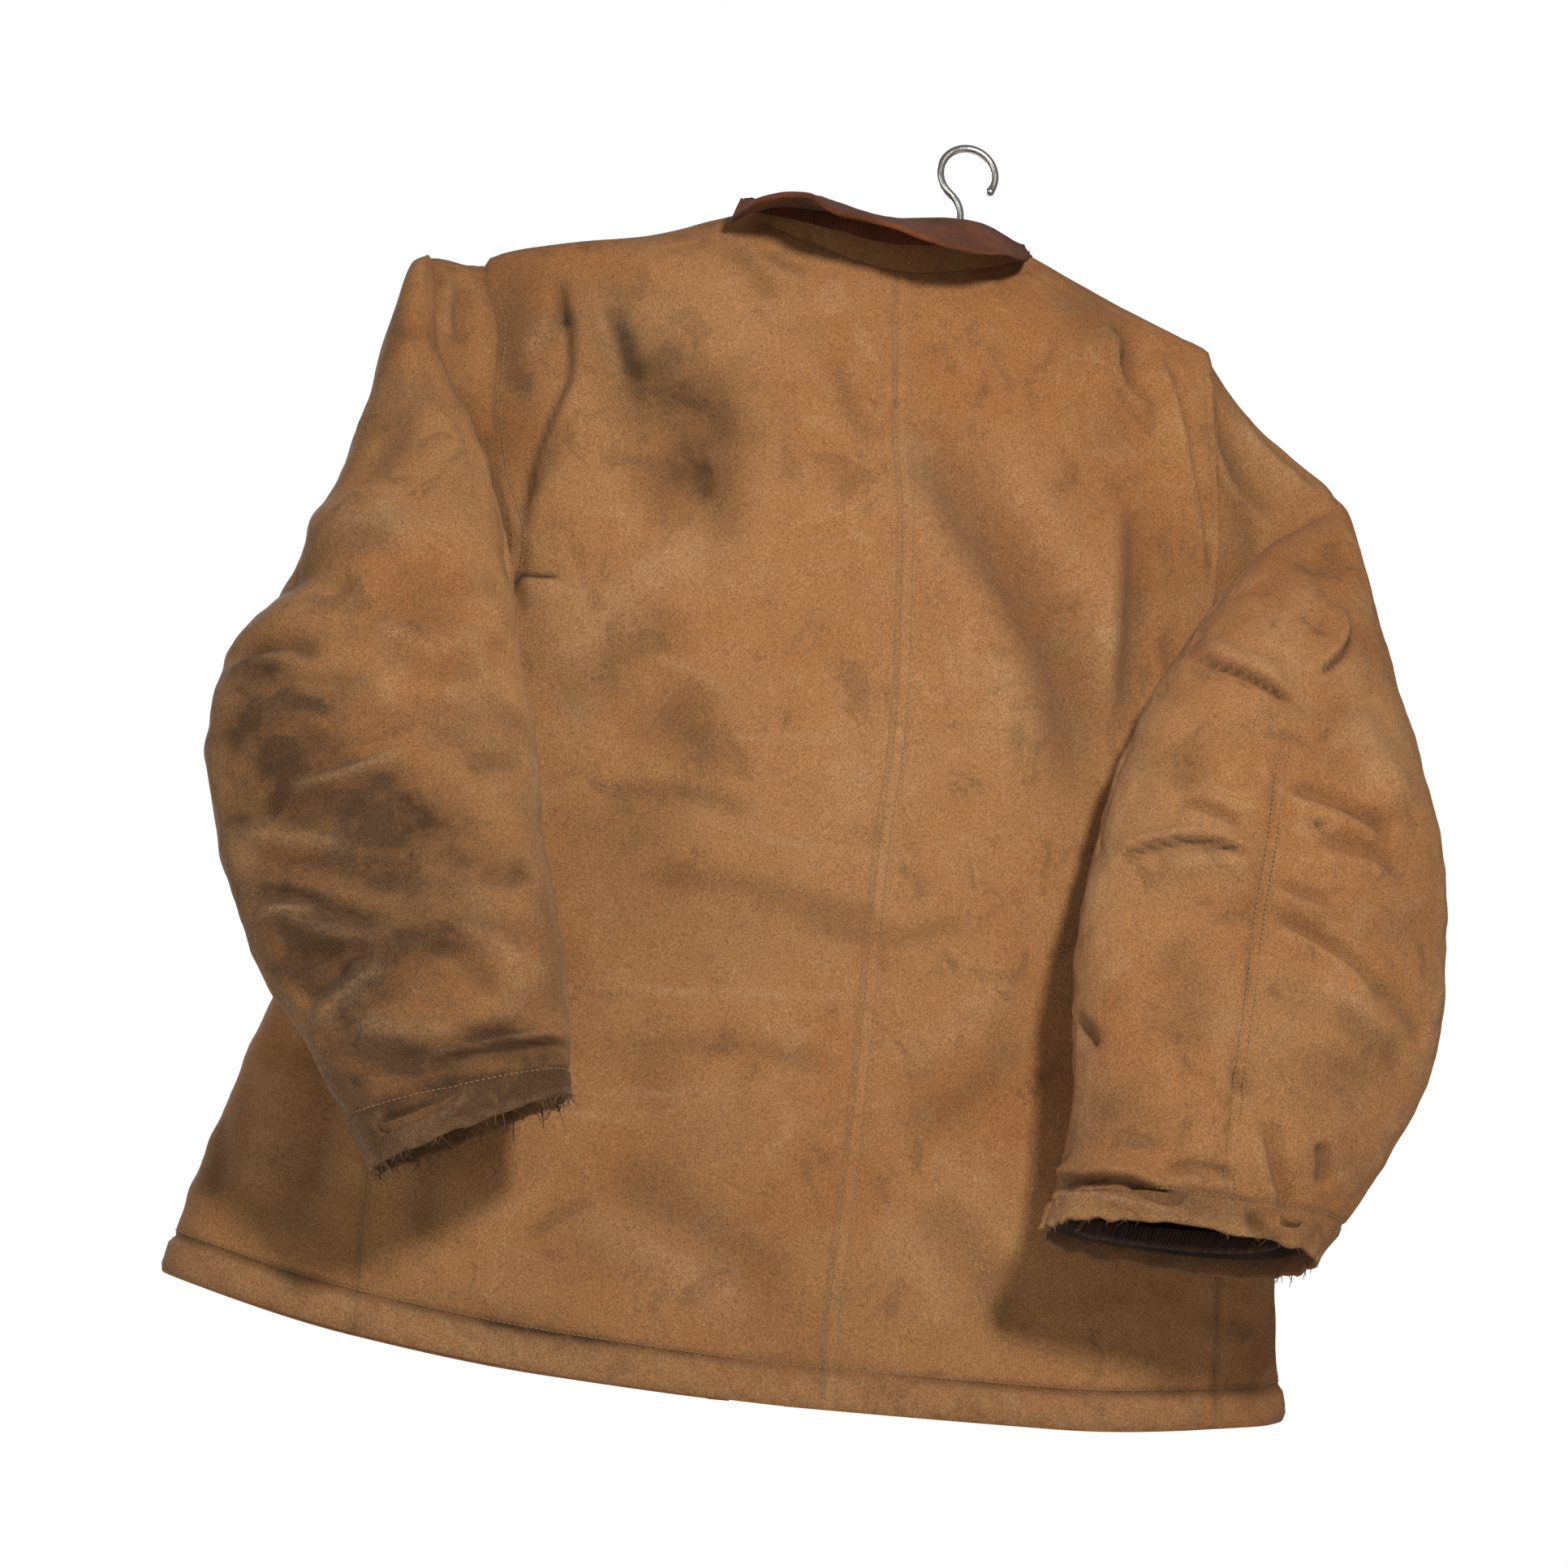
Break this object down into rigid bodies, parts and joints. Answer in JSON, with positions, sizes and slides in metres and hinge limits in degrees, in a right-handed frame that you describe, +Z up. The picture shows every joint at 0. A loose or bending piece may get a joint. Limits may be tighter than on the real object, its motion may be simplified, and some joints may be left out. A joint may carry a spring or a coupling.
{
  "type": "work jacket",
  "caption": "Lined canvas work jacket with a corduroy collar, hanging open on a swivel-hook hanger; sleeves, fronts, flaps, collar and zip slider move.",
  "frame": {"origin": "where the inside top of the hanger's hook rests on a rail", "axes": "+Z up, +Y towards the jacket's back, -Y towards its front, +X towards the wearer's left"},
  "size_m": [0.804, 0.2795, 0.8986],
  "materials": {
    "canvas": "worn cotton duck canvas, earth brown",
    "quilted_lining": "dark diamond-quilted lining",
    "corduroy": "rust-brown corduroy",
    "rib_knit": "dark brown rib knit",
    "zip_tape": "woven brown tape",
    "loop_tape": "woven tape",
    "brass": "dull brass",
    "chrome": "bright chrome plate",
    "hanger_plastic": "black moulded plastic"
  },
  "bodies": {
    "hook": {"hanger_hook": "chrome"},
    "coat": {"hanger_bar": "hanger_plastic", "hanger_bush": "hanger_plastic", "hang_loop": "loop_tape", "collar_stand": "corduroy", "collar_left_wing": "corduroy", "collar_right_wing": "corduroy", "left_back_panel": "canvas", "left_front_side": "canvas", "left_back_lining": "quilted_lining", "left_side_lining": "quilted_lining", "left_chest_pocket": "canvas", "left_snap_stud": "brass", "right_back_panel": "canvas", "right_front_side": "canvas", "right_back_lining": "quilted_lining", "right_side_lining": "quilted_lining", "right_chest_pocket": "canvas", "right_snap_stud": "brass"},
    "collar_leaf": {"collar_back_leaf": "corduroy"},
    "zip_slider": {"zip_slider": "brass"},
    "zip_pull": {"zip_pull": "brass"},
    "left_upper_sleeve": {"left_top_sleeve_upper": "canvas", "left_under_sleeve_upper": "canvas", "left_sleeve_lining_upper": "quilted_lining"},
    "left_lower_sleeve": {"left_top_sleeve_lower": "canvas", "left_under_sleeve_lower": "canvas", "left_sleeve_lining_lower": "quilted_lining", "left_knit_cuff": "rib_knit"},
    "left_front": {"left_front_panel": "canvas", "left_front_lining": "quilted_lining", "left_hand_pocket": "canvas", "left_pocket_rivets": "brass", "left_zip_tape": "zip_tape", "left_zip_teeth": "brass", "left_zip_top_stop": "brass", "zip_pin": "brass"},
    "left_chest_flap": {"left_chest_flap": "canvas", "left_snap_cap": "brass"},
    "right_upper_sleeve": {"right_top_sleeve_upper": "canvas", "right_under_sleeve_upper": "canvas", "right_sleeve_lining_upper": "quilted_lining"},
    "right_lower_sleeve": {"right_top_sleeve_lower": "canvas", "right_under_sleeve_lower": "canvas", "right_sleeve_lining_lower": "quilted_lining", "right_knit_cuff": "rib_knit"},
    "right_front": {"right_front_panel": "canvas", "right_front_lining": "quilted_lining", "right_hand_pocket": "canvas", "right_pocket_rivets": "brass", "right_zip_tape": "zip_tape", "right_zip_teeth": "brass", "right_zip_top_stop": "brass", "zip_box": "brass"},
    "right_chest_flap": {"right_chest_flap": "canvas", "right_snap_cap": "brass"}
  },
  "joints": [
    {"name": "hook_swivel", "type": "hinge", "parent": "hook", "child": "coat", "pos_m": [0, 0, 0], "axis": [-0.0872, 0, 0.9962], "continuous": true},
    {"name": "left_shoulder", "type": "hinge", "parent": "coat", "child": "left_upper_sleeve", "pos_m": [0.335, 0, -0.136], "axis": [0, -1, 0], "range_deg": [0, 60]},
    {"name": "right_shoulder", "type": "hinge", "parent": "coat", "child": "right_upper_sleeve", "pos_m": [-0.198, 0, -0.136], "axis": [0, 1, 0], "range_deg": [0, 60]},
    {"name": "left_elbow", "type": "hinge", "parent": "left_upper_sleeve", "child": "left_lower_sleeve", "pos_m": [0.27, 0.12, -0.52], "axis": [0, 1, 0], "range_deg": [0, 35]},
    {"name": "right_elbow", "type": "hinge", "parent": "right_upper_sleeve", "child": "right_lower_sleeve", "pos_m": [-0.1062, 0.13, -0.526], "axis": [0, -1, 0], "range_deg": [0, 35]},
    {"name": "left_front_fold", "type": "hinge", "parent": "coat", "child": "left_front", "pos_m": [0.091, -0.072, -0.198], "axis": [-0.3918, 0, 0.92], "range_deg": [0, 45]},
    {"name": "right_front_fold", "type": "hinge", "parent": "coat", "child": "right_front", "pos_m": [0.039, -0.072, -0.198], "axis": [-0.3433, 0, -0.9392], "range_deg": [0, 45]},
    {"name": "zip_slide", "type": "slide", "parent": "right_front", "child": "zip_slider", "axis": [0, 0, 1], "range_m": [0, 0.605]},
    {"name": "zip_pull_hinge", "type": "hinge", "parent": "zip_slider", "child": "zip_pull", "pos_m": [0.0532, -0.0691, -0.851], "axis": [-1, 0, 0], "range_deg": [0, 150]},
    {"name": "left_chest_flap_hinge", "type": "hinge", "parent": "coat", "child": "left_chest_flap", "pos_m": [0.239, -0.0616, -0.2635], "axis": [-0.9842, -0.1772, 0], "range_deg": [0, 140]},
    {"name": "right_chest_flap_hinge", "type": "hinge", "parent": "coat", "child": "right_chest_flap", "pos_m": [-0.125, -0.0609, -0.2635], "axis": [-0.9806, 0.1961, 0], "range_deg": [0, 140]},
    {"name": "collar_turn", "type": "hinge", "parent": "coat", "child": "collar_leaf", "pos_m": [0.057, 0.054, -0.081], "axis": [1, 0, 0], "range_deg": [-35, 75]}
  ]
}
